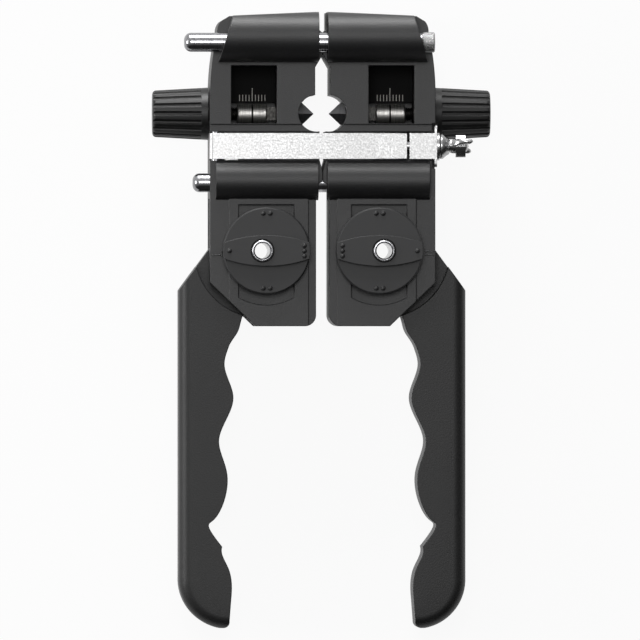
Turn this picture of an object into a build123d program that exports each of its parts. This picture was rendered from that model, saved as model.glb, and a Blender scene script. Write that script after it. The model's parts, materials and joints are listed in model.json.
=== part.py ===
"""Fibre optic cable stripper: two jaw halves on guide rods, with blades, dials, handles and a clamp strap.

The tool lies on its back: +Z points at the viewer and is the cable's direction, +Y points from the
handles to the jaws, and the jaws open along X. Each half is built on the +X side and mirrored.
"""
import os
from math import cos, pi, radians, sin, sqrt

from build123d import *

os.makedirs("parts", exist_ok=True)

# Body, millimetres
body_top = 96.8             # Y of the jaw end at the gap
body_bottom = -1.9          # Y of the fork's lower end
body_half_width = 35.4
body_depth = 29.4           # back face to the strap's ledge
plate_raise = 1.2           # window plate above the ledge
fork_raise = 0.8            # raised field round the dial
field_inner = 4.5           # X of the field's sides
field_outer = 29.4
gap_low = 2.1               # half the gap between the forks
gap_high = 2.4              # half the gap above the cable recess
pad_gap = 0.05              # half the gap where the pads meet
lip_gap = 1.0
recess_radius = 5.74
recess_offset = 1.9         # recess centre from the middle plane
edge_chamfer = 0.8
small_chamfer = 0.4
fit = 0.1                   # running clearance
press = 0.02                # clearance of a piece that is held fast
far = 60                    # reach of a cut past the part
sunk = 1                    # depth that a joined form is sunk in its base

# Outline of one half
fork_corner = 3.5           # radius of the fork's inner corner
fork_toe = 21.1             # X where the fork's slanted corner starts
fork_heel = 11.8            # Y where it ends
lower_pad = (43.6, 46.8)    # Y of the lower pad's ends
upper_pad = (83.4, 90.2)    # Y of the upper pad's ends
pad_slope = 1.4             # Y of the lower pad's first slope
lip_start = 50.4            # Y where the lip below the cable starts
recess_slope = 4.0          # Y of the slope under the upper pad
shoulder = (29.4, 95.5)     # where the jaw end meets its rounded corner
shoulder_mid = (32.0, 94.0)
bow_top = (33.2, 90.3)      # where the bowed side starts
bow_mid = (34.7, 82.0)
bow_end = 72.7              # Y where the side runs straight

# Fork that holds the handle's tongue
fork_back = 7.5             # Z where the slot starts
fork_front = 22.0           # Z where the slot ends
fork_web = 5.6              # X of the slot's inner wall
fork_roof = 38.2            # Y of the slot's end

# Guide rods
rod_diameter = 6.0
rod_clearance = 0.05        # radial
rod_dome = 2.2              # rounding of the left ends
upper_rod_y = 87.2
upper_rod_z = 34.0
lower_rod_y = 43.2
lower_rod_z = 24.5
upper_rod_tip = -43.7       # X of the left ends
lower_rod_tip = -40.8
upper_rod_end = 31.0        # X of the right ends
lower_rod_end = 27.0
head_diameter = 6.4
head_length = 4.0
head_teeth = 24
tooth_side = 0.35
bush_diameter = 8.0
bush_length = 10.0

# Rod bosses on the front
upper_boss_y = 88.95
upper_boss_radius = 7.8
upper_boss_z = 34.0
upper_boss_end = 30.4       # X of its outer end at mid height
upper_boss_slant = 17.2     # degrees
lower_boss_y = 43.9
lower_boss_radius = 6.2
lower_boss_z = 27.8
lower_boss_end = 33.6
boss_inner = 1.4            # X of the bosses' inner ends

# Blade feed
blade_y = 65.0
blade_z = 13.5
blade_half = 3.45           # half diagonal of the blade's section
blade_tip = 2.36            # X of the point
blade_point = 3.64          # length of the point
blade_back = 8.2            # X of the blade's back
blade_pocket = 3.65         # radius of the blade's pocket
pocket_end = 12.8
tail_radius = 1.2
tail_length = 3.0
carrier_radius = 3.0
carrier_inner = 17.1        # X of the barrel's ends
carrier_outer = 26.5
carrier_mark = 21.7         # X of the index groove
groove_width = 0.5
groove_depth = 0.3
screw_room = 4.5            # bore past the screw's tip, for the blade's travel
shank_side = 4.2
shank_clearance = 0.1
screw_radius = 2.0
screw_tip = 22.4
collar_radius = 4.0
collar_inner = 31.8
collar_outer = 33.0
journal_radius = 2.5
journal_end = 45.0
knob_start = 35.7
knob_end = 53.2
knob_big = 8.25             # radius beside the body
knob_small = 7.35
flute_count = 18
flute_radius = 0.75
flute_rise = 0.15           # flute's axis above the knob's surface
knob_collar = 2.2           # plain length beside the body
knob_dome = 1.2

# Window and scale
window_inner = 14.4
window_outer = 28.8
window_bottom = 61.8
window_top = 80.0
window_step = 68.5          # Y where the deep part under the barrel ends
window_floor = 12.8
window_deep = 9.0
scale_thickness = 0.8
scale_pitch = 1.0
scale_side_ticks = 4
tick_width = 0.24
tick_depth = 0.15
tick_start = 0.5            # above the deep part's edge
short_tick = 2.0
long_tick = 4.0

# Dial and axle
dial_x = 17.74
dial_y = 21.8
dial_radius = 13.65
dial_offset = 1.37          # axle outwards of the disc's centre
dial_bottom = 30.6
dial_thickness = 3.2
grip_height = 2.0
grip_middle = 9.6
grip_end = 4.8
hub_radius = 6.5
dot_radius = 0.75
dot_inset = 1.9             # from the rim
dot_pitch = 1.65
dimple_radius = 1.7
dimple_rise = 0.8           # depth of a click dimple
recess_width = 17.5         # flat-sided recess behind the dial
recess_arc = 17.1
recess_depth = 2.2
recess_top = 14.5           # flat upper end above the disc's centre
axle_radius = 3.0
axle_bore = 2.45
axle_head = 3.35
axle_head_length = 2.5
axle_top = 36.6
axle_bottom = 0.6
ring_radius = 4.8
ring_thickness = 1.0
ring_z = 1.2
ring_pocket = 5.2
plunger_radius = 2.0
plunger_offset = 10.0       # below the axle
plunger_length = 5.0
ball_radius = 1.3
ball_rise = 2.2             # top of the ball above the recess floor

# Handle
handle_back = 4.0
handle_front = 27.0
handle_outer = 45.1         # X of the straight outer edge
handle_bottom = -96.8
tongue_clearance = 0.2
tongue_radius = 13.0
arc_radius = 21.1           # step between tongue and grip
handle_top = (35.2, 22.7)   # where the slanted shoulder starts
handle_toe = (24.9, 1.6)    # inner end of the step
handle_slant = 9.3          # Y where the outer edge runs straight
handle_corner = 14.2        # width and height of the heel's curve
handle_heel = 16.0
outer_round = 4.0

# Clamp strap
strap_y = 54.7
strap_width = 8.1
strap_thickness = 0.6
strap_top = 30.3
strap_bend = 1.2            # outer radius of the left bend
strap_left = -35.6          # X of the strap's outer face
loop_right = 26.6           # X of the rolled end
channel_floor = 28.8
channel_width = 9.1
hinge_radius = 1.5
hinge_z = 25.0
hinge_length = 14.6
trunnion_radius = 2.5
stud_radius = 2.0
stud_end = 46.0
swing_room = 1.8            # below the hinge's eye, for the strap's swing
bolt_room = 4.5             # inwards of the rolled loop
bracket_left = 27.3
bracket_right = 35.9
bracket_thickness = 0.75
bracket_corner = 1.2
bracket_plate = 13.2        # height of the side leg
bracket_foot = 23.6         # Z of the side leg's free edge
side_relief = 34.35         # X of the body's relief behind the side leg
washer_radius = 4.5
washer_thickness = 0.8
hub_length = 3.0
hub_round = 0.6
wing_turn = -12             # degrees at rest
wing_hub = 4.0
wing_reach = 8.0
wing_tip = 47.6
wing_width = 2.0
nut_flats = 7.0
nut_start = 41.9
nut_thickness = 3.0

axle_x = dial_x + dial_offset
plate_z = body_depth + plate_raise
field_z = body_depth + fork_raise
loop_radius = trunnion_radius + fit + strap_thickness
loop_x = loop_right - loop_radius
loop_z = strap_top - loop_radius


def block(x0, x1, y0, y1, z0, z1):
    """Box between two corners."""
    return Pos((x0 + x1) / 2, (y0 + y1) / 2, (z0 + z1) / 2) * Box(x1 - x0, y1 - y0, z1 - z0)


def bar_x(radius, x0, x1, y, z):
    """Round bar along X."""
    return Pos((x0 + x1) / 2, y, z) * Rot(0, 90, 0) * Cylinder(radius, x1 - x0)


def bar_y(radius, x, y0, y1, z):
    """Round bar along Y."""
    return Pos(x, (y0 + y1) / 2, z) * Rot(90, 0, 0) * Cylinder(radius, y1 - y0)


def bar_z(radius, x, y, z0, z1):
    """Round bar along Z."""
    return Pos(x, y, (z0 + z1) / 2) * Cylinder(radius, z1 - z0)


def prism(outline, z0, z1):
    """Closed outline in XY, extruded from z0 to z1."""
    return Pos(0, 0, z0) * extrude(make_face(outline), amount=z1 - z0)


def body_outline():
    """Plan of one half: pads, cable recess, bowed outer side and chamfered fork."""
    lip_y = blade_y - sqrt(recess_radius**2 - (recess_offset - lip_gap)**2)
    top_y = blade_y + sqrt(recess_radius**2 - (gap_high - recess_offset)**2)
    turn = 1 - cos(pi / 4)
    return Wire([
        Line((gap_low, body_bottom + fork_corner), (gap_low, lower_pad[0] - pad_slope)),
        Line((gap_low, lower_pad[0] - pad_slope), (pad_gap, lower_pad[0])),
        Line((pad_gap, lower_pad[0]), (pad_gap, lower_pad[1])),
        Line((pad_gap, lower_pad[1]), (lip_gap, lip_start)),
        Line((lip_gap, lip_start), (lip_gap, lip_y)),
        ThreePointArc((lip_gap, lip_y), (recess_offset + recess_radius, blade_y), (gap_high, top_y)),
        Line((gap_high, top_y), (gap_high, upper_pad[0] - recess_slope)),
        Line((gap_high, upper_pad[0] - recess_slope), (pad_gap, upper_pad[0])),
        Line((pad_gap, upper_pad[0]), (pad_gap, upper_pad[1])),
        Line((pad_gap, upper_pad[1]), (boss_inner, upper_pad[1] + boss_inner - 0.2)),
        Line((boss_inner, upper_pad[1] + boss_inner - 0.2), (boss_inner, body_top)),
        Line((boss_inner, body_top), shoulder),
        ThreePointArc(shoulder, shoulder_mid, bow_top),
        ThreePointArc(bow_top, bow_mid, (body_half_width, bow_end)),
        Line((body_half_width, bow_end), (body_half_width, fork_heel)),
        Line((body_half_width, fork_heel), (fork_toe, body_bottom)),
        Line((fork_toe, body_bottom), (gap_low + fork_corner, body_bottom)),
        ThreePointArc((gap_low + fork_corner, body_bottom),
                      (gap_low + fork_corner * turn, body_bottom + fork_corner * turn),
                      (gap_low, body_bottom + fork_corner)),
    ])


def boss(y, z, radius, inner, outer, floor, slant):
    """Half-round boss along X whose outer end leans by slant degrees."""
    past = outer + radius
    hump = bar_x(radius, inner, past, y, z) + block(inner, past, y - radius, y + radius, floor, z)
    return hump - Pos(outer, y, z) * Rot(0, 0, slant) * Pos(far / 2, 0, 0) * Box(far, far, far)


def dial_recess():
    """Flat-sided recess with arc ends behind the dial."""
    disc = bar_z(recess_arc, dial_x, dial_y, field_z - recess_depth, far)
    band = block(dial_x - recess_width / 2, dial_x + recess_width / 2, dial_y - recess_arc - 1,
                 dial_y + recess_top, 0, far)
    return disc & band


def jaw_body(sliding):
    """Moulding of one half; the sliding one has bush seats and the hinge pocket of the strap."""
    outline = body_outline()
    body = prism(outline, 0, body_depth)
    body = chamfer(body.edges().filter_by(Plane.XY).group_by(Axis.Z)[0], edge_chamfer)
    upper = prism(outline, body_depth - sunk, plate_z) & block(0, far, window_bottom - 0.3, 2 * far, 0, far)
    field = prism(outline, body_depth - sunk, field_z) & block(field_inner, field_outer, -far, fork_roof, 0, far)
    upper_hump = boss(upper_boss_y, upper_boss_z, upper_boss_radius, boss_inner, upper_boss_end,
                      body_depth - sunk, upper_boss_slant)
    lower_hump = boss(lower_boss_y, lower_boss_z, lower_boss_radius, boss_inner, lower_boss_end,
                      body_depth - 4 * sunk, 0)
    body = body + upper + field + upper_hump + lower_hump
    # The hump stays inside the jaw end's falling top edge
    body = body - prism(Polyline((-1, body_top), (boss_inner, body_top), shoulder,
                                 (body_half_width + 1, bow_top[1] + 1), (body_half_width + 1, 2 * far),
                                 (-1, 2 * far), close=True), -1, far)
    body = body - block(fork_web, far, -far, fork_roof, fork_back, fork_front)
    body = body - dial_recess()
    channel_low = strap_y - channel_width / 2
    channel_high = strap_y + channel_width / 2
    body = body - block(-1, far, channel_low, channel_high, channel_floor, far)

    # Window, blade pocket and feed bores
    body = body - block(window_inner, window_outer, window_step, window_top, window_floor, far)
    body = body - block(window_inner, window_outer, window_bottom, window_step, window_deep, far)
    body = body - bar_x(blade_pocket, 0, pocket_end, blade_y, blade_z)
    side = shank_side / 2 + shank_clearance
    body = body - block(pocket_end - 1, window_inner + 1, blade_y - side, blade_y + side,
                        blade_z - side, blade_z + side)
    body = body - bar_x(collar_radius + fit, window_outer - 1, collar_outer + fit, blade_y, blade_z)
    body = body - bar_x(journal_radius + rod_clearance, collar_outer, far, blade_y, blade_z)

    # Dial hub, axle, ring and plunger bores
    body = body - bar_z(hub_radius + rod_clearance, axle_x, dial_y, fork_front - 1, far)
    body = body - bar_z(axle_radius + rod_clearance, axle_x, dial_y, -1, fork_back + 1)
    body = body - bar_z(ring_pocket, axle_x, dial_y, -1, ring_z + ring_thickness + fit)
    body = body - bar_z(plunger_radius + press, axle_x, dial_y - plunger_offset,
                        field_z - recess_depth - plunger_length, far)

    # Guide rod bores
    bore = rod_diameter / 2 + rod_clearance
    if sliding:
        for y, z in ((upper_rod_y, upper_rod_z), (lower_rod_y, lower_rod_z)):
            body = body - bar_x(bore + 0.2, -1, far, y, z)
            body = body - bar_x(bush_diameter / 2, -1, boss_inner + bush_length, y, z)
        body = body - block(strap_recess(), far, channel_low, channel_high,
                            hinge_z - hinge_eye() - swing_room, far)
        body = body - bar_y(hinge_radius + press, -strap_left - hinge_eye(), strap_y - hinge_length / 2,
                            strap_y + hinge_length / 2, hinge_z)
    else:
        body = body - bar_x(bore, -1, far, upper_rod_y, upper_rod_z)
        body = body - bar_x(head_diameter / 2 + fit, upper_rod_end, far, upper_rod_y, upper_rod_z)
        body = body - bar_x(bore, -1, lower_rod_end + 0.2, lower_rod_y, lower_rod_z)
        body = body - block(loop_x - loop_radius - bolt_room, far, channel_low, channel_high,
                            loop_z - loop_radius - 0.4, far)
        body = body - block(side_relief, far, strap_y - bracket_plate / 2 - 0.5,
                            strap_y + bracket_plate / 2 + 0.5, bracket_foot - 0.8, far)
    return body


def hinge_eye():
    """Distance from the strap's outer face to its hinge pin."""
    return hinge_radius + fit + strap_thickness


def strap_recess():
    """Inner X of the pocket for the strap's hinge eye."""
    return -strap_left - 2 * hinge_eye() - 0.5


def blade():
    """Square bar on edge, ground to a four-sided point, with a round tail."""
    def diamond(x):
        return Plane(origin=(x, blade_y, blade_z), x_dir=(0, 1, 0), z_dir=(1, 0, 0)) * Polygon(
            (blade_half, 0), (0, blade_half), (-blade_half, 0), (0, -blade_half), align=None)
    base = blade_tip + blade_point
    bar = extrude(diamond(base), amount=blade_back - base)
    point = loft([diamond(base).face(), Vertex(blade_tip, blade_y, blade_z)])
    return bar + point + bar_x(tail_radius, blade_back - 0.5, blade_back + tail_length, blade_y, blade_z)


def carrier():
    """Barrel with index groove, bored for the feed screw, and a square shank for the blade."""
    barrel = bar_x(carrier_radius, carrier_inner, carrier_outer, blade_y, blade_z)
    barrel = chamfer(barrel.edges().filter_by(GeomType.CIRCLE), small_chamfer)
    side = shank_side / 2
    barrel = barrel + block(blade_back, carrier_inner + 1, blade_y - side, blade_y + side,
                            blade_z - side, blade_z + side)
    groove = (bar_x(carrier_radius + 1, carrier_mark - groove_width / 2, carrier_mark + groove_width / 2,
                    blade_y, blade_z)
              - bar_x(carrier_radius - groove_depth, carrier_mark - 1, carrier_mark + 1, blade_y, blade_z))
    barrel = barrel - groove
    barrel = barrel - bar_x(screw_radius + rod_clearance, screw_tip - screw_room, carrier_outer + 1,
                            blade_y, blade_z)
    return barrel - bar_x(tail_radius + press, blade_back - 1, blade_back + tail_length + 0.2, blade_y, blade_z)


def feed_screw():
    """Screw with thrust collar and a journal that holds the knob."""
    screw = bar_x(screw_radius, screw_tip, collar_inner + 0.5, blade_y, blade_z)
    screw = screw + bar_x(collar_radius, collar_inner, collar_outer, blade_y, blade_z)
    return screw + bar_x(journal_radius, collar_outer - 0.5, journal_end, blade_y, blade_z)


def knob():
    """Tapered fluted knob with a plain collar beside the body."""
    length = knob_end - knob_start
    dome = knob_dome
    profile = make_face(Wire([
        Line((0, 0), (knob_big, 0)),
        Line((knob_big, 0), (knob_small, length - dome)),
        ThreePointArc((knob_small, length - dome), (knob_small - 0.3 * dome, length - 0.3 * dome),
                      (knob_small - dome, length)),
        Line((knob_small - dome, length), (0, length)),
        Line((0, length), (0, 0)),
    ]))
    turned = revolve(Plane.XZ * profile, Axis.Z)
    lean = (knob_big - knob_small) / (length - dome)
    rim = knob_big - lean * knob_collar
    fluted = length - knob_collar
    flute = Solid.make_cylinder(flute_radius, fluted + 2,
                                Plane(origin=(rim + flute_rise, 0, knob_collar), z_dir=(-lean, 0, 1)))
    for i in range(flute_count):
        turned = turned - Rot(0, 0, 360 / flute_count * i) * flute
    turned = turned - Pos(0, 0, (journal_end - knob_start) / 2 - 0.5) * Cylinder(
        journal_radius + press, journal_end - knob_start + 1.2)
    return Pos(knob_start, blade_y, blade_z) * Rot(0, 90, 0) * turned


def scale_plate():
    """Plate with engraved millimetre ticks beside the barrel."""
    plate = block(window_inner + 0.1, window_outer - 0.1, window_step + 0.1, window_top - 0.1,
                  window_floor, window_floor + scale_thickness)
    for i in range(-scale_side_ticks, scale_side_ticks + 1):
        x = carrier_mark + i * scale_pitch
        length = long_tick if i == 0 else short_tick
        plate = plate - block(x - tick_width / 2, x + tick_width / 2, window_step + tick_start,
                              window_step + tick_start + length,
                              window_floor + scale_thickness - tick_depth, window_floor + scale_thickness + 1)
    return plate


def dial():
    """Eccentric disc with eye-shaped grip bar, dots, click dimples and a hub on the axle."""
    face_z = dial_bottom + dial_thickness
    disc = bar_z(dial_radius, dial_x, dial_y, dial_bottom, face_z)
    disc = chamfer(disc.edges().filter_by(GeomType.CIRCLE).group_by(Axis.Z)[-1], small_chamfer)
    half = dial_radius + 1
    rise = grip_middle / 2
    low = rise - (rise - grip_end / 2) * (half / dial_radius)**2
    bar = prism(Wire([
        ThreePointArc((dial_x - half, dial_y + low), (dial_x, dial_y + rise), (dial_x + half, dial_y + low)),
        Line((dial_x + half, dial_y + low), (dial_x + half, dial_y - low)),
        ThreePointArc((dial_x + half, dial_y - low), (dial_x, dial_y - rise), (dial_x - half, dial_y - low)),
        Line((dial_x - half, dial_y - low), (dial_x - half, dial_y + low)),
    ]), face_z - 0.5, face_z + grip_height)
    bar = bar & bar_z(dial_radius - 0.1, dial_x, dial_y, 0, far)
    body = disc + bar + bar_z(hub_radius, axle_x, dial_y, fork_front + 0.2, dial_bottom + 0.5)
    reach = dial_radius - dot_inset
    pair = dot_pitch * 2 / 3
    dots = [(reach, 0, grip_height), (-reach, 0, grip_height), (-reach, dot_pitch, grip_height),
            (-reach, -dot_pitch, grip_height), (pair, reach, 0), (-pair, reach, 0), (pair, -reach, 0),
            (-pair, -reach, 0)]
    for x, y, z in dots:
        body = body + Pos(dial_x + x, dial_y + y, face_z + z - 0.1) * Sphere(dot_radius)
    for angle in range(0, 360, 90):
        x = axle_x + plunger_offset * sin(radians(angle))
        y = dial_y - plunger_offset * cos(radians(angle))
        body = body - Pos(x, y, dial_bottom + dimple_rise - dimple_radius) * Sphere(dimple_radius)
    body = body - bar_z(axle_radius + rod_clearance, axle_x, dial_y, 0, far)
    return body - bar_z(axle_head + 0.35, axle_x, dial_y, axle_top - axle_head_length - 0.05, far)


def axle():
    """Hollow axle with a formed head at the front and a ring groove at the back."""
    tube = bar_z(axle_radius, axle_x, dial_y, axle_bottom, axle_top)
    tube = tube + bar_z(axle_head, axle_x, dial_y, axle_top - axle_head_length, axle_top)
    groove = bar_z(axle_radius + 1, axle_x, dial_y, ring_z, ring_z + ring_thickness) - bar_z(
        axle_radius - 0.25, axle_x, dial_y, 0, 5)
    return tube - groove - bar_z(axle_bore, axle_x, dial_y, -1, far)


def axle_ring():
    """Open retaining ring in the axle's groove."""
    ring = bar_z(ring_radius, axle_x, dial_y, ring_z + 0.05, ring_z + ring_thickness - 0.05)
    ring = ring - bar_z(axle_radius - 0.2, axle_x, dial_y, 0, 5)
    return ring - block(axle_x - 1.2, axle_x + 1.2, dial_y, dial_y + 10, 0, 5)


def plunger():
    """Sprung plunger whose ball stands in the dial's dimple."""
    top = field_z - recess_depth
    y = dial_y - plunger_offset
    return bar_z(plunger_radius, axle_x, y, top - plunger_length, top) + Pos(
        axle_x, y, top + ball_rise - ball_radius) * Sphere(ball_radius)


def handle():
    """Grip with three finger hollows, and a thinner tongue that turns on the axle."""
    waves = Spline((29.5, -8.5), (30.8, -13.8), (28.0, -24.2), (32.5, -37.7), (29.9, -48.5), (34.4, -63.0),
                   (31.5, -71.2), tangents=[(0.35, -1), (-0.8, -1)])
    grip = prism(Wire([
        Spline(handle_toe, (26.4, -3.2), (29.5, -8.5), tangents=[(0.6, -1), (0.35, -1)]),
        waves,
        Spline((31.5, -71.2), (29.6, -77.8), (28.7, -88.0), tangents=[(0.35, -1), (0.1, -1)]),
        Line((28.7, -88.0), (29.2, -94.6)),
        ThreePointArc((29.2, -94.6), (29.7, -96.2), (31.2, handle_bottom)),
        Line((31.2, handle_bottom), (32.4, handle_bottom)),
        ThreePointArc((32.4, handle_bottom),
                      (handle_outer - handle_corner * (1 - cos(pi / 4)),
                       handle_bottom + handle_heel * (1 - sin(pi / 4))),
                      (handle_outer, handle_bottom + handle_heel)),
        Line((handle_outer, handle_bottom + handle_heel), (handle_outer, handle_slant)),
        Line((handle_outer, handle_slant), handle_top),
        Line(handle_top, handle_toe),
    ]), handle_back, handle_front)
    grip = grip - bar_z(arc_radius, axle_x, dial_y, 0, far)
    tongue_low = fork_back + tongue_clearance
    tongue_high = fork_front - tongue_clearance
    sector = prism(Polyline((axle_x, dial_y), handle_top, (handle_outer - outer_round + 0.5, handle_slant + 4.7),
                            (handle_top[0] + 0.8, -2.0), handle_toe, close=True), tongue_low, tongue_high)
    tongue = sector + bar_z(tongue_radius, axle_x, dial_y, tongue_low, tongue_high)
    whole = grip + tongue
    outer = [e for e in whole.edges() if e.center().X > 40 and e.center().Y < 9 and
             abs(e.tangent_at(0.5).Z) < 0.1]
    whole = fillet(outer, outer_round)
    return whole - bar_z(axle_radius + rod_clearance, axle_x, dial_y, 0, far)


def upper_rod():
    """Ground rod with a domed left end, threaded into its knurled head on the right."""
    radius = rod_diameter / 2
    rod = bar_x(radius, upper_rod_tip, upper_rod_end, upper_rod_y, upper_rod_z)
    return fillet(rod.edges().filter_by(GeomType.CIRCLE).sort_by(Axis.X)[0], rod_dome)


def rod_head():
    """Knurled head, a fluted ring at this scale."""
    start = upper_rod_end + rod_clearance
    head = bar_x(head_diameter / 2, start, start + head_length, upper_rod_y, upper_rod_z)
    head = chamfer(head.edges().filter_by(GeomType.CIRCLE), small_chamfer)
    for i in range(head_teeth):
        angle = 360 / head_teeth * i
        head = head - Pos(start + head_length / 2, upper_rod_y, upper_rod_z) * Rot(angle, 0, 0) * Pos(
            0, head_diameter / 2, 0) * Rot(45, 0, 0) * Box(head_length + 2, tooth_side, tooth_side)
    return head


def lower_rod():
    """Ground rod with a domed left end."""
    radius = rod_diameter / 2
    rod = bar_x(radius, lower_rod_tip, lower_rod_end, lower_rod_y, lower_rod_z)
    return fillet(rod.edges().filter_by(GeomType.CIRCLE).sort_by(Axis.X)[0], rod_dome)


def bush(y, z):
    """Guide bush in the sliding half."""
    start = boss_inner + 0.2
    end = boss_inner + bush_length - 0.1
    return bar_x(bush_diameter / 2 - press, -end, -start, y, z) - bar_x(
        rod_diameter / 2 + rod_clearance, -end - 1, -start + 1, y, z)


def strap():
    """Steel strap: hinge eye on the left, run across the front, rolled loop on the right."""
    low = strap_y - strap_width / 2
    high = strap_y + strap_width / 2
    under = strap_top - strap_thickness
    eye_x = strap_left + hinge_eye()
    bend_x = strap_left + strap_bend
    bend_z = strap_top - strap_bend
    run = block(bend_x, loop_x, low, high, under, strap_top)
    bend = bar_y(strap_bend, bend_x, low, high, bend_z) - bar_y(
        strap_bend - strap_thickness, bend_x, low - 1, high + 1, bend_z)
    bend = bend & block(strap_left - 1, bend_x, low, high, bend_z, strap_top + 1)
    side = block(strap_left, strap_left + strap_thickness, low, high, hinge_z, bend_z)
    eye = bar_y(hinge_eye(), eye_x, low, high, hinge_z) - bar_y(hinge_radius + fit, eye_x, low - 1, high + 1,
                                                               hinge_z)
    loop = bar_y(loop_radius, loop_x, low, high, loop_z) - bar_y(trunnion_radius + fit, loop_x, low - 1,
                                                                high + 1, loop_z)
    tail = block(loop_x - 6.5, loop_x - 1.2, low, high, under - strap_thickness, under)
    whole = run + bend + side + eye + loop + tail
    whole = whole - bar_y(trunnion_radius + fit, loop_x, low - 1, high + 1, loop_z)
    slot = stud_radius + 0.3
    return whole - block(loop_x, loop_x + 6, strap_y - slot, strap_y + slot, loop_z - slot, loop_z + slot)


def hinge_pin():
    """Pin of the strap's hinge, held in the left half."""
    return bar_y(hinge_radius, strap_left + hinge_eye(), strap_y - hinge_length / 2 + 0.1,
                 strap_y + hinge_length / 2 - 0.1, hinge_z)


def t_bolt():
    """Cross bar in the strap's loop, with the stud that the wing nut pulls."""
    bar = bar_y(trunnion_radius, loop_x, strap_y - strap_width / 2, strap_y + strap_width / 2, loop_z)
    stud = bar_x(stud_radius, loop_x, stud_end, strap_y, loop_z)
    stud = fillet(stud.edges().filter_by(GeomType.CIRCLE).sort_by(Axis.X)[-1], 0.9)
    return bar + stud


def bracket():
    """Angle bracket that hooks over the right half's corner."""
    low = strap_y - strap_width / 2
    high = strap_y + strap_width / 2
    plate_low = strap_y - bracket_plate / 2
    plate_high = strap_y + bracket_plate / 2
    front = block(bracket_left, bracket_right, low, high, strap_top - bracket_thickness, strap_top)
    side = block(bracket_right - bracket_thickness, bracket_right, plate_low, plate_high, bracket_foot, strap_top)
    side = fillet(side.edges().filter_by(Axis.X), bracket_corner)
    return front + side - bar_x(stud_radius + 0.15, bracket_left, 40, strap_y, loop_z)


def washer():
    """Washer under the wing nut."""
    return bar_x(washer_radius, bracket_right + 0.05, bracket_right + washer_thickness, strap_y, loop_z) - bar_x(
        stud_radius + rod_clearance, 30, 40, strap_y, loop_z)


def wing_nut():
    """Wing nut: round hub and two wings that lean outwards past the end nut."""
    start = bracket_right + washer_thickness + 0.1
    hub = bar_x(wing_hub, start, start + hub_length, 0, 0)
    hub = fillet(hub.edges().filter_by(GeomType.CIRCLE).sort_by(Axis.X)[-1], hub_round)
    wing = extrude(Plane.XZ * Polygon(
        (start + 0.3, 2.4), (start + hub_length, 2.4), (start + hub_length + 0.6, 5.0), (wing_tip, 5.3),
        (wing_tip, wing_reach - 0.6), (wing_tip - 1.0, wing_reach), (start + 4.0, wing_reach - 0.4),
        align=None), amount=wing_width / 2, both=True)
    nut = hub + wing + Rot(180, 0, 0) * wing
    nut = nut - bar_x(stud_radius + rod_clearance, 30, far, 0, 0)
    return Pos(0, strap_y, loop_z) * Rot(wing_turn, 0, 0) * nut


def end_nut():
    """Hexagon nut at the stud's end."""
    across = nut_flats / sqrt(3)
    blank = Rot(0, 90, 0) * extrude(RegularPolygon(across, 6), amount=nut_thickness)
    turned = Rot(0, 90, 0) * Pos(0, 0, nut_thickness / 2) * Cylinder(across - 0.1, nut_thickness)
    nut = (blank & turned) - bar_x(stud_radius + press, -1, far, 0, 0)
    return Pos(nut_start, strap_y, loop_z) * nut


def mirrored(shape):
    """The left half's copy of a right-hand piece."""
    return mirror(shape, about=Plane.YZ)


def sections(body, side):
    """One half's moulding as five solids that meet face to face, divided across at its form lines."""
    lines = [-far, fork_roof, strap_y - channel_width / 2, strap_y + channel_width / 2,
             upper_boss_y - upper_boss_radius, 2 * far]
    names = ["fork", "lower_rod_block", "strap_bridge", "jaw_body", "upper_rod_block"]
    return {name + side: body & block(-far, far, low, high, -1, far)
            for name, low, high in zip(names, lines, lines[1:])}


def main():
    """Build every piece and write one STEP file for each."""
    nodes = {**sections(jaw_body(False), "_right"), **sections(mirrored(jaw_body(True)), "_left")}
    pairs = {"blade": blade(), "blade_carrier": carrier(), "feed_screw": feed_screw(), "depth_knob": knob(),
             "scale_plate": scale_plate(), "eccentric_dial": dial(), "hollow_axle": axle(),
             "axle_ring": axle_ring(), "detent_plunger": plunger(), "handle": handle()}
    for name, shape in pairs.items():
        nodes[name + "_right"] = shape
        nodes[name + "_left"] = mirrored(shape)
    nodes["upper_guide_rod"] = upper_rod()
    nodes["rod_head"] = rod_head()
    nodes["lower_guide_rod"] = lower_rod()
    nodes["upper_bush"] = bush(upper_rod_y, upper_rod_z)
    nodes["lower_bush"] = bush(lower_rod_y, lower_rod_z)
    nodes["strap"] = strap()
    nodes["strap_hinge_pin"] = hinge_pin()
    nodes["t_bolt"] = t_bolt()
    nodes["angle_bracket"] = bracket()
    nodes["washer"] = washer()
    nodes["wing_nut"] = wing_nut()
    nodes["end_nut"] = end_nut()
    for name, shape in nodes.items():
        export_step(shape, "parts/" + name + ".step")
        print(name, len(shape.solids()), round(shape.volume, 1))


main()
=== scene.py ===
import json

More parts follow.
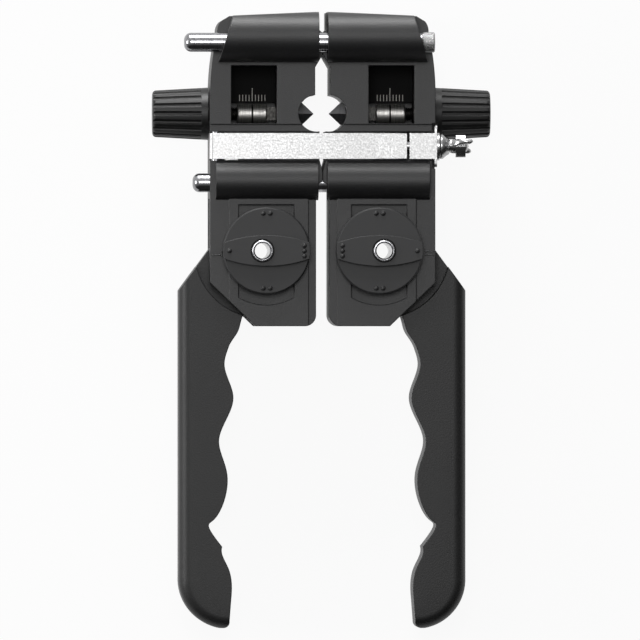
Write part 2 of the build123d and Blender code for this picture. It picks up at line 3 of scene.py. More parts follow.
import bmesh
import bpy
import numpy as np
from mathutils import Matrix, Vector

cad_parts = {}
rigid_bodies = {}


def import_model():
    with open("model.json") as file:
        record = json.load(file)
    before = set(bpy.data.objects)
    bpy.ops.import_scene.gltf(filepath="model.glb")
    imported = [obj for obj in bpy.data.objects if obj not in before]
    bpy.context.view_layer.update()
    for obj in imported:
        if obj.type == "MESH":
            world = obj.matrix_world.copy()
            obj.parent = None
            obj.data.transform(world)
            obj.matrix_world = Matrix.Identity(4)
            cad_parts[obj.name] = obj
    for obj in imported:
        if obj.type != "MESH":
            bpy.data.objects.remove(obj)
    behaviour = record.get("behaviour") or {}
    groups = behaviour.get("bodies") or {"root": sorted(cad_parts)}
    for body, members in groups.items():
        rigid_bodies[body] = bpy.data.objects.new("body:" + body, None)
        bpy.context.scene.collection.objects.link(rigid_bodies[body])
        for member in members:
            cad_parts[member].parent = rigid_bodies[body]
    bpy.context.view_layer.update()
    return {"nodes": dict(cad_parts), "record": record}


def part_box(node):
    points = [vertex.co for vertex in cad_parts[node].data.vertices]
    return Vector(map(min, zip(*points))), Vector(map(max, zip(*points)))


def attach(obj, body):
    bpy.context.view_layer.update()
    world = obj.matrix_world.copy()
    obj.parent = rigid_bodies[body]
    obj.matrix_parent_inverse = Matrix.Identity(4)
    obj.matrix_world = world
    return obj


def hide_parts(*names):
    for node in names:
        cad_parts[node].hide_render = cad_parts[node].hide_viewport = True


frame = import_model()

MM = 0.001
PITCH = 0.7              # thread of the M4 screws and stud, in millimetres
BARREL_LENGTH = 9.4      # blade carrier's barrel
MARK_INSET = 4.8         # index groove and zero tick, from the barrel's outer end
FRONT_FACE = 29.4        # Z of the mouldings' front
NODES = frame["nodes"]
SIDES = (("right", 1), ("left", -1))
SECTIONS = ("jaw_body", "fork", "lower_rod_block", "strap_bridge", "upper_rod_block")


# Colours and nodes

def linear(code):
    """Hex sRGB colour as linear RGBA."""
    part = np.array([int(code[i:i + 2], 16) / 255 for i in (1, 3, 5)])
    value = np.where(part <= 0.04045, part / 12.92, ((part + 0.055) / 1.055) ** 2.4)
    return (*value.tolist(), 1.0)


def node(tree, kind, settings=None, inputs=None, links=None):
    """Adds a node with its settings, its input values, and links from (node, output)."""
    made = tree.nodes.new(kind)
    for name, value in (settings or {}).items():
        setattr(made, name, value)
    for name, value in (inputs or {}).items():
        made.inputs[name].default_value = value
    for name, (source, output) in (links or {}).items():
        tree.links.new(source.outputs[output], made.inputs[name])
    return made


def begin(name):
    """A new material; returns it, its empty tree and its object coordinates."""
    material = bpy.data.materials.new(name)
    material.use_nodes = True
    tree = material.node_tree
    tree.nodes.clear()
    return material, tree, node(tree, "ShaderNodeTexCoord")


def moulded(name, dark, light, rough, grain_mm, bump, edge_mm, gloss=0.5):
    """Nylon from a steel mould. A fine grain lifts the tone and the roughness together, slow clouds
    are the flow of the melt, and a small radius along each edge draws a thin light line."""
    material, tree, place = begin(name)
    grain = node(tree, "ShaderNodeTexNoise", inputs={"Scale": 1 / (grain_mm * MM), "Detail": 3.0,
                 "Roughness": 0.6}, links={"Vector": (place, "Object")})
    cloud = node(tree, "ShaderNodeTexNoise", inputs={"Scale": 1 / (14 * MM), "Detail": 2.0},
                 links={"Vector": (place, "Object")})
    both = node(tree, "ShaderNodeMath", {"operation": "MULTIPLY_ADD"}, {1: 0.3},
                {0: (cloud, "Fac"), 2: (grain, "Fac")})
    share = node(tree, "ShaderNodeMapRange", inputs={"From Min": 0.45, "From Max": 0.85},
                 links={"Value": (both, 0)})
    colour = node(tree, "ShaderNodeMix", {"data_type": "RGBA"}, {6: linear(dark), 7: linear(light)},
                  {0: (share, "Result")})
    finish = node(tree, "ShaderNodeMapRange", inputs={"To Min": rough - 0.08, "To Max": rough + 0.08},
                  links={"Value": (grain, "Fac")})
    edge = node(tree, "ShaderNodeBevel", {"samples": 6}, {"Radius": edge_mm * MM})
    raised = node(tree, "ShaderNodeBump", inputs={"Strength": bump, "Distance": 0.08 * MM},
                  links={"Height": (grain, "Fac"), "Normal": (edge, "Normal")})
    shader = node(tree, "ShaderNodeBsdfPrincipled", inputs={"IOR": 1.53, "Specular IOR Level": gloss},
                  links={"Base Color": (colour, 2), "Roughness": (finish, "Result"),
                         "Normal": (raised, "Normal")})
    node(tree, "ShaderNodeOutputMaterial", links={"Surface": (shader, 0)})
    return material


def metal(name, dark, light, rough, spread, scale_mm, bump, edge_mm=0.12, metallic=1.0):
    """Steel or bronze with marks from its making. scale_mm is the marks' size along X, Y and Z, so a
    long size along one axis draws grinding or turning lines along it. A fine grain or film that takes
    some of the mirror away lowers metallic."""
    material, tree, place = begin(name)
    stretch = node(tree, "ShaderNodeMapping", inputs={"Scale": [1 / (size * MM) for size in scale_mm]},
                   links={"Vector": (place, "Object")})
    marks = node(tree, "ShaderNodeTexNoise", inputs={"Scale": 1.0, "Detail": 4.0, "Roughness": 0.65},
                 links={"Vector": (stretch, "Vector")})
    share = node(tree, "ShaderNodeMapRange", inputs={"From Min": 0.35, "From Max": 0.65},
                 links={"Value": (marks, "Fac")})
    colour = node(tree, "ShaderNodeMix", {"data_type": "RGBA"}, {6: linear(dark), 7: linear(light)},
                  {0: (share, "Result")})
    finish = node(tree, "ShaderNodeMapRange", inputs={"To Min": rough + spread, "To Max": rough},
                  links={"Value": (share, "Result")})
    edge = node(tree, "ShaderNodeBevel", {"samples": 6}, {"Radius": edge_mm * MM})
    raised = node(tree, "ShaderNodeBump", inputs={"Strength": bump, "Distance": 0.02 * MM},
                  links={"Height": (marks, "Fac"), "Normal": (edge, "Normal")})
    shader = node(tree, "ShaderNodeBsdfPrincipled", inputs={"Metallic": metallic}, links={
        "Base Color": (colour, 2), "Roughness": (finish, "Result"), "Normal": (raised, "Normal")})
    node(tree, "ShaderNodeOutputMaterial", links={"Surface": (shader, 0)})
    return material


def filling_paint():
    """Enamel wiped into engraved ticks: flat white, a little grey where it is thin."""
    material, tree, place = begin("white_filling_enamel")
    speck = node(tree, "ShaderNodeTexNoise", inputs={"Scale": 1 / (0.3 * MM)},
                 links={"Vector": (place, "Object")})
    tone = node(tree, "ShaderNodeMix", {"data_type": "RGBA"}, {6: linear("#a9a7a2"), 7: linear("#f2f0ea")},
                {0: (speck, "Fac")})
    shader = node(tree, "ShaderNodeBsdfPrincipled", inputs={"Roughness": 0.6},
                  links={"Base Color": (tone, 2)})
    node(tree, "ShaderNodeOutputMaterial", links={"Surface": (shader, 0)})
    return material


# Glass-filled nylon with a spark-eroded grain: near black, matt, greyer where the light falls on it
BODY = moulded("glass_filled_nylon_body", "#0f0f10", "#1d1d1e", 0.46, 0.42, 0.6, 0.4)
GRIP = moulded("glass_filled_nylon_grip", "#0c0c0d", "#191919", 0.48, 0.5, 0.6, 0.5, gloss=0.4)
# The knobs are moulded without grain, so they look darker and a little glossier
KNOB = moulded("plain_moulded_nylon_knob", "#0a0a0a", "#121212", 0.42, 0.3, 0.15, 0.25, gloss=0.35)
# The dials have a smooth even face, the greyest of the plastics
DIAL = moulded("smooth_moulded_nylon_dial", "#1c1c1d", "#212122", 0.56, 0.3, 0.1, 0.25)
# Black anodised scale plate, dull, its near-black partly its own colour and partly painted shade of the deep
# window, so that only its white ticks show
SHADED_SCALE = moulded("black_scale_with_painted_window_shade", "#020202", "#040404", 0.7, 0.3, 0.1, 0.1, 0.15)
# Rolled stainless strip, tumbled to an even satin with fine grey specks
STRIP = metal("satin_rolled_stainless", "#b0b0b0", "#cccccc", 0.36, 0.14, (0.55, 0.55, 0.55), 0.25)
# Centreless-ground rod, polished: sharp reflections with faint rings round it
ROD = metal("ground_polished_rod_steel", "#7f7f82", "#a9a9ab", 0.14, 0.08, (0.4, 6.0, 6.0), 0.05)
# Turned barrel: fine rings across its length that spread the highlight along it
BARREL = metal("turned_barrel_steel", "#b0aeab", "#e4e2de", 0.42, 0.12, (0.22, 8.0, 8.0), 0.25)
# Bright nickel on small parts: clean, with soft waves from the plating
NICKEL = metal("bright_nickel_plated_steel", "#8c8c8d", "#bcbcbc", 0.18, 0.12, (1.1, 1.1, 1.1), 0.15)
# Ground tool steel of the blades: a fine ground grain takes most of its mirror away and leaves grey,
# with lines from the wheel along the blade
BLADE = metal("ground_tool_steel", "#dadadc", "#f0f0f2", 0.45, 0.12, (5.0, 0.25, 0.25), 0.2,
              metallic=0.35)
# Painted shade: the blades' lower flats, turned away from the light, take a darker steel so the point reads
# as two tones
SHADED_LOWER_FLAT = metal("painted_shade_lower_flat_steel", "#4a4a4c", "#626264", 0.5, 0.12, (5.0, 0.25, 0.25), 0.2,
                  metallic=0.35)
# Blackened steel of the threads and shanks: dark grey with worn lighter crests
BLACK = metal("black_oxide_screw_steel", "#2c2b2a", "#4a4947", 0.36, 0.14, (0.3, 0.8, 0.8), 0.15)
# Porous bronze of the guide bushes: warm brown, matt and speckled
BRONZE = metal("sintered_bronze_bush", "#6d5230", "#94733f", 0.45, 0.15, (0.4, 0.4, 0.4), 0.3)
PAINT = filling_paint()
FINISH = {"body_nylon": BODY, "handle_nylon": GRIP, "knob_nylon": KNOB, "dial_nylon": DIAL,
          "scale_black": SHADED_SCALE, "ground_steel": BLADE, "turned_steel": BARREL, "polished_steel": ROD,
          "plated_steel": NICKEL, "satin_stainless": STRIP, "bronze": BRONZE}
SLOT_OF = {part["node"]: part["material_slot"] for part in frame["record"]["subparts"]}
BODY_OF = {name: body for body, names in frame["record"]["behaviour"]["bodies"].items() for name in names}


# Meshes

def piece(name, parts, material, stands_for=(), body=None, crease=35):
    """One object from several (points in mm, faces) surfaces, with closed seams and poles and normals
    facing outwards, smooth except where it turns by more than the crease. It stands for CAD nodes, or
    rides on a body of its own."""
    mesh = bpy.data.meshes.new(name)
    counts = np.cumsum([0] + [len(points) for points, _ in parts])
    faces = []
    for (_, corners), start in zip(parts, counts):
        faces += (corners + start).tolist()
    mesh.from_pydata((np.concatenate([points for points, _ in parts]) * MM).tolist(), [], faces)
    shape = bmesh.new()
    shape.from_mesh(mesh)
    bmesh.ops.remove_doubles(shape, verts=shape.verts, dist=0.0005 * MM)
    bmesh.ops.recalc_face_normals(shape, faces=shape.faces)
    shape.to_mesh(mesh)
    shape.free()
    mesh.materials.append(material)
    thing = bpy.data.objects.new(name, mesh)
    bpy.context.scene.collection.objects.link(thing)
    shade(mesh, crease)
    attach(thing, body or BODY_OF[stands_for[0]])
    if stands_for:
        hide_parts(*stands_for)
    return thing


def shade(mesh, crease):
    """Smooth shading with sharp edges at turns past the crease, in degrees."""
    mesh.polygons.foreach_set("use_smooth", [True] * len(mesh.polygons))
    mesh.set_sharp_from_angle(angle=np.radians(crease))


def grid(rows, columns, wrap=True):
    """Quads of a grid of rows by columns, with the last column joined to the first when wrapped."""
    row = np.arange(rows - 1)[:, None] * columns
    column = np.arange(columns if wrap else columns - 1)[None, :]
    after = (column + 1) % columns
    return np.stack([row + column, row + after, row + columns + after, row + columns + column],
                    -1).reshape(-1, 4)


def turned(profile, place, axis, steps=64):
    """Surface of revolution: a profile of (along, radius) points carried round an axis, X or Z, that
    passes through place."""
    along, radius = np.array(profile, float).T[:, :, None]
    angle = np.linspace(0, 2 * np.pi, steps, endpoint=False)[None, :]
    flat = np.broadcast_to(along, (len(profile), steps))
    rings = [radius * np.cos(angle), radius * np.sin(angle)]
    shape = np.stack([flat, *rings] if axis == "X" else [*rings, flat], -1).reshape(-1, 3)
    return shape + np.array(place, float), grid(len(profile), steps)


def threaded(start, end, radius, pitch, depth, place, steps=48):
    """Thread along X: the radius falls by depth in a V with a flat crest and root as along / pitch minus
    the turn passes a whole number, and the surface closes to the axis in a flat end at both sides."""
    flank, crest = 1.6, 0.3
    along = np.linspace(start, end, int(abs(end - start) / pitch * 8) + 2)[:, None]
    angle = np.linspace(0, 2 * np.pi, steps, endpoint=False)[None, :]
    turn = np.mod(along / pitch - angle / (2 * np.pi), 1)
    reach = radius - depth * np.clip(flank * np.abs(2 * turn - 1) - crest, 0, 1)
    flat = np.broadcast_to(along, reach.shape)
    body = np.stack([flat, reach * np.cos(angle), reach * np.sin(angle)], -1)
    caps = [np.stack([flat[row], 0 * flat[row], 0 * flat[row]], -1)[None] for row in (0, -1)]
    shape = np.concatenate([caps[0], body, caps[1]]).reshape(-1, 3)
    return shape + np.array(place, float), grid(len(along) + 2, steps)


def arc(centre, radius, first, last, steps=12):
    """Points of an arc, angles in degrees."""
    angle = np.radians(np.linspace(first, last, steps))
    return np.stack([centre[0] + radius * np.cos(angle), centre[1] + radius * np.sin(angle)], -1)


def rounded_bar(width, height, corner, steps=4):
    """Closed outline of a bar's section: a rectangle whose corners are small arcs."""
    x, y = width / 2 - corner, height / 2 - corner
    return np.concatenate([arc((sx * x, sy * y), corner, start, start + 90, steps) for sx, sy, start in
                           ((1, 1, 0), (-1, 1, 90), (-1, -1, 180), (1, -1, 270))])


def box_mm(name):
    """Lowest and highest corner of a CAD node, in millimetres."""
    low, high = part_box(name)
    return np.array(low) / MM, np.array(high) / MM


# The object's pieces

def cad_surface(name):
    """A CAD node's triangles, as points in millimetres and their corners."""
    mesh = NODES[name].data
    points = np.zeros(len(mesh.vertices) * 3)
    mesh.vertices.foreach_get("co", points)
    corners = np.zeros(len(mesh.loops), np.int32)
    mesh.loops.foreach_get("vertex_index", corners)
    return points.reshape(-1, 3) / MM, corners.reshape(-1, 3)


def smooth(name, crease):
    """The CAD node's own surface with its loose triangles joined, so that its curves shade smoothly."""
    return piece("smooth_" + name, [cad_surface(name)], FINISH[SLOT_OF[name]], [name], crease=crease)


def half_body(side):
    """One half's moulding: its CAD sections joined into a single skin, as it comes from the mould."""
    names = [section + "_" + side for section in SECTIONS]
    body = piece("moulded_half_" + side, [cad_surface(names[0])], BODY, names)
    joined = bpy.data.collections.new("sections_" + side)
    for name in names[1:]:
        mesh = bpy.data.meshes.new(name + "_copy")
        points, corners = cad_surface(name)
        mesh.from_pydata((points * MM).tolist(), [], corners.tolist())
        shape = bmesh.new()
        shape.from_mesh(mesh)
        bmesh.ops.remove_doubles(shape, verts=shape.verts, dist=0.0005 * MM)
        shape.to_mesh(mesh)
        shape.free()
        joined.objects.link(bpy.data.objects.new(name + "_copy", mesh))
    union = body.modifiers.new("union", "BOOLEAN")
    union.operation = "UNION"
    union.solver = "EXACT"
    union.operand_type = "COLLECTION"
    union.collection = joined
    bpy.context.view_layer.update()
    skin = bpy.data.meshes.new_from_object(body.evaluated_get(bpy.context.evaluated_depsgraph_get()))
    body.modifiers.clear()
    for copy in list(joined.objects):
        bpy.data.objects.remove(copy)
    bpy.data.collections.remove(joined)
    body.data = skin
    skin.materials.clear()
    skin.materials.append(BODY)
    shade(skin, 28)


def blade(side):
    """Blade: its flats on the lower side of the point and of the bar take the darker steel, painted shade for
    the side turned away from the light.
    """
    thing = smooth("blade_" + side, 20)
    thing.data.materials.append(SHADED_LOWER_FLAT)
    normals = np.zeros(len(thing.data.polygons) * 3)
    thing.data.polygons.foreach_get("normal", normals)
    # Painted shade: faces whose normal points down, towards -Y, get the darker steel
    thing.data.polygons.foreach_set("material_index", (normals[1::3] < -0.3).astype(np.int32))


def carrier(side, sign):
    """Blade carrier: a bright barrel with a blackened index groove, on a square shank in the dark screw
    steel, which is painted shade for the shadow of the window's walls over the barrel's end.
    """
    name = "blade_carrier_" + side
    thing = smooth(name, 35)
    low, high = box_mm(name)
    outer = high[0] if sign > 0 else -low[0]
    groove = 0.2
    thing.data.materials.append(BLACK)
    centres = np.zeros(len(thing.data.polygons) * 3)
    thing.data.polygons.foreach_get("center", centres)
    inwards = outer - sign * centres[::3] / MM
    # Painted shade: past the barrel the shank takes the dark steel; the narrow band is the index groove
    dark = (inwards > BARREL_LENGTH + 0.01) | (np.abs(inwards - MARK_INSET) < groove)
    thing.data.polygons.foreach_set("material_index", dark.astype(np.int32))


def feed_screw(side, sign):
    """Feed screw: blackened thread, thrust collar and journal, turned in one piece."""
    name = "feed_screw_" + side
    low, high = box_mm(name)
    middle = (low + high) / 2
    tip, end = (low[0], high[0]) if sign > 0 else (high[0], low[0])
    thread, thread_length, collar, journal, width, chamfer = 2.0, 9.4, 4.0, 2.5, 1.2, 0.2
    start = tip + sign * thread_length
    profile = [(0, 0), (0, collar - chamfer), (chamfer, collar), (width - chamfer, collar),
               (width, collar - chamfer), (width, journal)]
    profile = [(start + sign * along, radius) for along, radius in profile] + [(end, journal), (end, 0)]
    place = (0, middle[1], middle[2])
    parts = [threaded(tip, start, thread, PITCH, 0.3, place), turned(profile, place, "X", 48)]
    piece("threaded_" + name, parts, BLACK, [name])


def axle(side):
    """Hollow axle: rounded head with a countersunk mouth, bore right through, ring groove at the back."""
    name = "hollow_axle_" + side
    low, high = box_mm(name)
    middle = (low + high) / 2
    head, tube, bore = (high[0] - low[0]) / 2, 3.0, 2.45
    neck, mouth, mouth_depth, head_round, chamfer = high[2] - 2.5, 0.45, 0.5, 0.25, 0.2
    groove_low, groove_high, groove_floor = 1.2, 2.2, tube - 0.25
    profile = [(low[2], bore), (low[2], tube - chamfer), (low[2] + chamfer, tube), (groove_low, tube),
               (groove_low, groove_floor), (groove_high, groove_floor), (groove_high, tube), (neck, tube),
               (neck, head)]
    profile += [(z, r) for r, z in arc((head - head_round, high[2] - head_round), head_round, 0, 90, 5)]
    profile += [(high[2], bore + mouth), (high[2] - mouth_depth, bore), (low[2], bore)]
    piece("turned_" + name, [turned(profile, (middle[0], middle[1], 0), "Z")], ROD, [name], crease=25)


def rod_head():
    """Knurled head: two families of helical grooves leave rows of small pyramids, so the radius falls
    with the nearer of the two grooves. Plain chamfered ends."""
    low, high = box_mm("rod_head")
    middle = (low + high) / 2
    radius, chamfer, count, depth = (high[1] - low[1]) / 2, 0.4, 22, 0.28
    length = high[0] - low[0] - 2 * chamfer
    along = np.linspace(0, length, 41)[:, None]
    angle = np.linspace(0, 2 * np.pi, count * 8, endpoint=False)[None, :]
    lead = 2 * np.pi * radius / count
    one = np.mod(angle * count / (2 * np.pi) + along / lead, 1)
    other = np.mod(angle * count / (2 * np.pi) - along / lead, 1)
    crest = np.minimum(1 - np.abs(2 * one - 1), 1 - np.abs(2 * other - 1))
    reach = radius - depth * (1 - np.clip(1.3 * crest, 0, 1))
    flat = np.broadcast_to(along + low[0] + chamfer, reach.shape)
    knurl = np.stack([flat, reach * np.cos(angle), reach * np.sin(angle)], -1)
    ends = []
    for x, r in ((low[0], 0), (low[0], radius - chamfer), (high[0], radius - chamfer), (high[0], 0)):
        ring = np.broadcast_to(angle, (1, count * 8))
        ends.append(np.stack([np.full(ring.shape, x), r * np.cos(ring), r * np.sin(ring)], -1))
    shape = np.concatenate([ends[0], ends[1], knurl, ends[2], ends[3]])
    quads = grid(len(shape), count * 8)
    piece("knurled_rod_head", [(shape.reshape(-1, 3) + (0, middle[1], middle[2]), quads)], NICKEL,
          ["rod_head"], crease=50)


def stud():
    """T-bolt: cross bar with rounded ends in the strap's loop, threaded stud with a domed tip."""
    low, high = box_mm("t_bolt")
    radius, stud_radius, dome = (high[2] - low[2]) / 2, 2.0, 0.9
    centre = np.array([low[0] + radius, (low[1] + high[1]) / 2, (low[2] + high[2]) / 2])
    half = (high[1] - low[1]) / 2
    profile = np.array([(-half, 0), (-half, radius - 0.3), (-half + 0.3, radius), (half - 0.3, radius),
                        (half, radius - 0.3), (half, 0)])
    bar, quads = turned(profile, (0, 0, 0), "X", 48)
    bar = bar[:, [1, 0, 2]] + centre
    place = (0, centre[1], centre[2])
    shoulder = 36.0
    tip = high[0] - dome
    shank = [(centre[0], 0), (centre[0], stud_radius), (shoulder, stud_radius), (shoulder, 0)]
    cap = [(tip, 0), (tip, stud_radius - 0.25)]
    cap += [(x, r) for x, r in zip(np.linspace(tip, high[0], 7)[1:],
                                   (stud_radius - 0.25) * np.cos(np.linspace(0, np.pi / 2, 7)[1:]))]
    piece("threaded_t_bolt", [(bar, quads), turned(shank, place, "X", 48),
          threaded(shoulder, tip, stud_radius, PITCH, 0.28, place), turned(cap, place, "X", 48)], NICKEL,
          ["t_bolt"])


def wing_nut():
    """Wing nut: a cone-shaped hub, and two wings whose oval section narrows along a bent path and
    closes in a round tip. The path leaves the stud early, with the fifth power of the way that is left,
    so that the wings pass outside the end nut wherever the washer stands."""
    low, _ = box_mm("wing_nut")
    bolt_low, bolt_high = box_mm("t_bolt")
    centre = np.array([0, (bolt_low[1] + bolt_high[1]) / 2, (bolt_low[2] + bolt_high[2]) / 2])
    start, base, top, bore = low[0], 4.0, 3.0, 2.05
    chamfer, collar, cone, length = 0.2, 1.0, 2.2, 3.0
    hub = [(0, bore), (0, base - chamfer), (chamfer, base), (collar, base), (cone, top), (length, top - 0.5),
           (length, bore), (0, bore)]
    hub = [(start + along, radius) for along, radius in hub]
    parts = [turned(hub, centre, "X", 48)]
    run = np.linspace(0, 1, 22)[:, None]
    root_x, reach_x, root_r, reach_r = 1.6, 8.3, 2.6, 4.1
    path_x = start + root_x + reach_x * run ** 0.8
    path_r = root_r + reach_r * (1 - (1 - run) ** 5)
    close = np.sqrt(np.clip(1 - ((run - 0.85) / 0.15).clip(0, 1) ** 2, 0, 1))
    wide = (1.5 + 0.5 * np.sin(np.pi * run)) * close
    thick = (1.05 - 0.2 * run) * close
    angle = np.linspace(0, 2 * np.pi, 24, endpoint=False)[None, :]
    x = path_x + wide * np.cos(angle) * 0.55
    r = path_r + wide * np.cos(angle) * 0.5
    side = thick * np.sin(angle)
    tilt = np.radians(-12)
    for sign in (1, -1):
        y = sign * side * np.cos(tilt) - sign * r * np.sin(tilt)
        z = sign * side * np.sin(tilt) + sign * r * np.cos(tilt)
        wing = np.stack([x, y, z], -1)
        root = np.broadcast_to(wing[:1].mean(1, keepdims=True), wing[:1].shape)
        end = np.broadcast_to(wing[-1:].mean(1, keepdims=True), wing[-1:].shape)
        shape = np.concatenate([root, wing, end]).reshape(-1, 3) + centre
        parts.append((shape, grid(len(run) + 2, 24)))
    piece("cast_wing_nut", parts, NICKEL, ["wing_nut"], crease=50)


def plate(x0, x1, y0, y1, z0, z1, corner, edge=0.08):
    """Flat plate with round corners in plan: its outline rises from the underside, draws in by a small
    edge at the top and closes over its middle."""
    outline = rounded_bar(x1 - x0, y1 - y0, corner, 6)
    shares = [(0, z0), (1, z0), (1, z1 - edge), (1 - 2 * edge / (y1 - y0), z1), (0, z1)]
    rows = [np.concatenate([outline * share, np.full((len(outline), 1), z)], 1) for share, z in shares]
    shape = np.concatenate(rows) + ((x0 + x1) / 2, (y0 + y1) / 2, 0)
    return shape, grid(len(shares), len(outline))


def strap_end():
    """The strap's end folded over the T-bolt: a second layer with a fine seam, which reaches the bend,
    and the tab that the hinge end leaves below the strap."""
    low, high = box_mm("strap")
    seam, bend, inset, proud = 16.9, high[0] - 0.1, 0.06, 0.04
    fold = plate(seam, bend, low[1] + inset, high[1] - inset, high[2] - 0.7, high[2] + proud, 0.3)
    tab = plate(-30.6, -26.6, low[1] - 0.45, low[1] + 0.2, high[2] - 0.6, high[2] - 0.1, 0.15)
    piece("folded_strap_end", [fold, tab], STRIP, body=BODY_OF["strap"], crease=30)


def scale_marks(side, sign):
    """Enamel in the scale's engraved ticks, a longer one with a dot at zero."""
    low, high = box_mm("scale_plate_" + side)
    carrier_low, carrier_high = box_mm("blade_carrier_" + side)
    outer = carrier_high[0] if sign > 0 else -carrier_low[0]
    mark, pitch, half = outer - MARK_INSET, 1.0, 0.12
    foot, floor = low[1] + 0.4, high[2] - 0.15
    section = rounded_bar(2 * half, 0.12, 0.03, 3)
    parts = []
    for i in range(-4, 5):
        length = 4.0 if i == 0 else 2.0
        run = np.array([foot, foot, foot + length, foot + length])[:, None]
        size = np.array([0, 1, 1, 0])[:, None]
        x = sign * (mark + pitch * i) + size * section[None, :, 0]
        z = floor + 0.07 + size * section[None, :, 1]
        tick = np.stack([x, np.broadcast_to(run, x.shape), z], -1)
        parts.append((tick.reshape(-1, 3), grid(4, len(section))))
    dot = [(floor + 0.02, 0), (floor + 0.02, 0.3), (floor + 0.14, 0.26), (floor + 0.16, 0)]
    parts.append(turned(dot, (sign * mark, foot + 4.0, 0), "Z", 20))
    piece("scale_marks_" + side, parts, PAINT, body=BODY_OF["scale_plate_" + side])


def ridge(points, width, height, floor):
    """Low rounded ridge along a path in plan: a half-oval section carried along it, closed at the ends."""
    path = np.array(points, float)
    step = np.gradient(path, axis=0)
    across = np.stack([-step[:, 1], step[:, 0]], -1) / np.linalg.norm(step, axis=1)[:, None]
    angle = np.linspace(0, 2 * np.pi, 12, endpoint=False)[None, :]
    size = np.ones(len(path))
    size[[0, -1]] = 0
    size = size[:, None]
    flat = path[:, None, :] + across[:, None, :] * (size * width / 2 * np.cos(angle))[:, :, None]
    rise = floor + size * height * np.sin(angle)
    return np.concatenate([flat, rise[:, :, None]], -1).reshape(-1, 3), grid(len(path), 12)


def index_marks(side, sign):
    """Index on the body's outer strip beside the dial: two lines on the right, on the left one line
    that ends in a short cross stroke."""
    low, high = box_mm("eccentric_dial_" + side)
    middle = (low[1] + high[1]) / 2
    start, end = 32.0, 35.0
    if sign > 0:
        rows = [[(x, middle + rise) for x in (start, start + 0.05, end - 0.05, end)]
                for rise in (-0.2, -1.25)]
    else:
        rows = [[(-x, middle - 1.4) for x in (end, end - 0.05, start + 0.05, start)],
                [(-start + 0.3, middle + y) for y in (-2.0, -1.95, -0.05, 0)]]
    parts = [ridge(row, 0.42, 0.22, FRONT_FACE) for row in rows]
    piece("index_marks_" + side, parts, BODY, body=BODY_OF["jaw_body_" + side])


# Studio

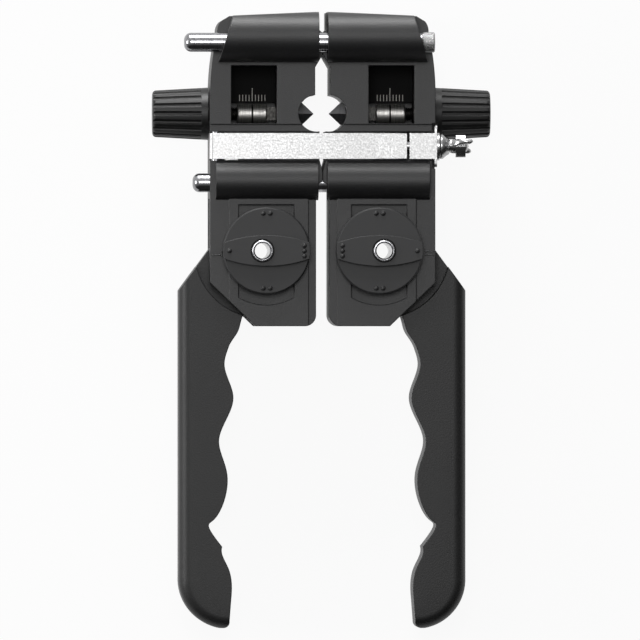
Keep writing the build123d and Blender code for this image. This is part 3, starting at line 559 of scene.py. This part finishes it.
def studio():
    """White floor, soft lamps from above, from the jaw end and from the left, and the camera."""
    scene = bpy.context.scene
    scene.view_settings.view_transform = "Standard"
    world = bpy.data.worlds.new("studio")
    scene.world = world
    world.use_nodes = True
    tree = world.node_tree
    tree.nodes.clear()
    # Pale room, lighter towards the jaw end and above, white to the camera
    path = node(tree, "ShaderNodeLightPath")
    place = node(tree, "ShaderNodeTexCoord")
    facing = node(tree, "ShaderNodeVectorMath", {"operation": "DOT_PRODUCT"}, {1: (-0.35, 0.85, 0.3)},
                  {0: (place, "Generated")})
    level = node(tree, "ShaderNodeMapRange", inputs={"From Min": -0.3, "From Max": 0.9, "To Min": 0.04,
                 "To Max": 1.0}, links={"Value": (facing, "Value")})
    gloss = node(tree, "ShaderNodeMath", {"operation": "MULTIPLY_ADD"}, {1: 0.6, 2: 0.3},
                 {0: (path, "Is Glossy Ray")})
    soft = node(tree, "ShaderNodeMath", {"operation": "MULTIPLY"},
                links={0: (level, "Result"), 1: (gloss, 0)})
    room = node(tree, "ShaderNodeBackground", inputs={"Color": (1, 1, 1, 1)}, links={"Strength": (soft, 0)})
    white = node(tree, "ShaderNodeBackground", inputs={"Color": (1, 1, 1, 1), "Strength": 1.0})
    seen = node(tree, "ShaderNodeMath", {"operation": "MAXIMUM"}, links={0: (path, "Is Camera Ray"),
                1: (path, "Is Transmission Ray")})
    mixed = node(tree, "ShaderNodeMixShader", links={0: (seen, 0), 1: (room, 0), 2: (white, 0)})
    node(tree, "ShaderNodeOutputWorld", links={"Surface": (mixed, 0)})

    half = 1.2
    paper = bpy.data.meshes.new("floor")
    corners = [(-half, -half, 0), (half, -half, 0), (half, half, 0), (-half, half, 0)]
    paper.from_pydata(corners, [], [(0, 1, 2, 3)])
    floor = bpy.data.objects.new("floor", paper)
    scene.collection.objects.link(floor)
    material, tree, _ = begin("white_paper_floor")
    path = node(tree, "ShaderNodeLightPath")
    matt = node(tree, "ShaderNodeBsdfDiffuse", inputs={"Color": (0.85, 0.85, 0.85, 1)})
    glow = node(tree, "ShaderNodeEmission", inputs={"Color": (1, 1, 1, 1), "Strength": 1.0})
    one = node(tree, "ShaderNodeMath", {"operation": "MAXIMUM"}, links={0: (path, "Is Camera Ray"),
               1: (path, "Is Glossy Ray")})
    seen = node(tree, "ShaderNodeMath", {"operation": "MAXIMUM"}, links={0: (one, 0),
                1: (path, "Is Transmission Ray")})
    share = node(tree, "ShaderNodeMath", {"operation": "MULTIPLY"}, {1: 0.93}, {0: (seen, 0)})
    mixed = node(tree, "ShaderNodeMixShader", links={0: (share, 0), 1: (matt, 0), 2: (glow, 0)})
    node(tree, "ShaderNodeOutputMaterial", links={"Surface": (mixed, 0)})
    paper.materials.append(material)

    lamps = [("jaw_end", (-0.15, 1.1, 0.28), 0.5, 14.0), ("overhead", (-0.08, 0.22, 1.3), 0.4, 3.9),
             ("left", (-1.0, 0.1, 0.4), 0.45, 5.0)]
    for name, spot, width, power in lamps:
        data = bpy.data.lights.new(name, "AREA")
        data.size = width
        data.energy = power
        lamp = bpy.data.objects.new(name, data)
        lamp.location = spot
        lamp.rotation_euler = (Vector((0, 0.02, 0.01)) - Vector(spot)).to_track_quat("-Z", "Y").to_euler()
        scene.collection.objects.link(lamp)

    # Far camera with a long lens: the photograph has almost no perspective and looks from a little left
    data = bpy.data.cameras.new("camera")
    data.lens = 1000
    data.sensor_width = 36
    lean = np.radians(1.9)
    target = Vector((-0.62, 0.06, 22.0)) * MM
    view_width = 201.3 * MM
    camera = bpy.data.objects.new("camera", data)
    away = view_width / data.sensor_width * data.lens
    camera.location = target + Vector((-np.sin(lean), 0, np.cos(lean))) * away
    camera.rotation_euler = (0, -lean, 0)
    scene.collection.objects.link(camera)
    scene.camera = camera


studio()
for part_name, slot_name in SLOT_OF.items():
    thing = NODES[part_name]
    thing.data.materials.clear()
    thing.data.materials.append(FINISH[slot_name])
for side, sign in SIDES:
    half_body(side)
    for part_name, crease in (("handle", 28), ("depth_knob", 35), ("eccentric_dial", 30),
                              ("detent_plunger", 35), ("axle_ring", 35)):
        smooth(part_name + "_" + side, crease)
    blade(side)
    carrier(side, sign)
    feed_screw(side, sign)
    axle(side)
    scale_marks(side, sign)
    index_marks(side, sign)
for part_name in ("upper_guide_rod", "lower_guide_rod", "strap", "strap_hinge_pin", "angle_bracket", "washer",
                  "end_nut", "upper_bush", "lower_bush"):
    smooth(part_name, 30)
rod_head()
strap_end()
stud()
wing_nut()
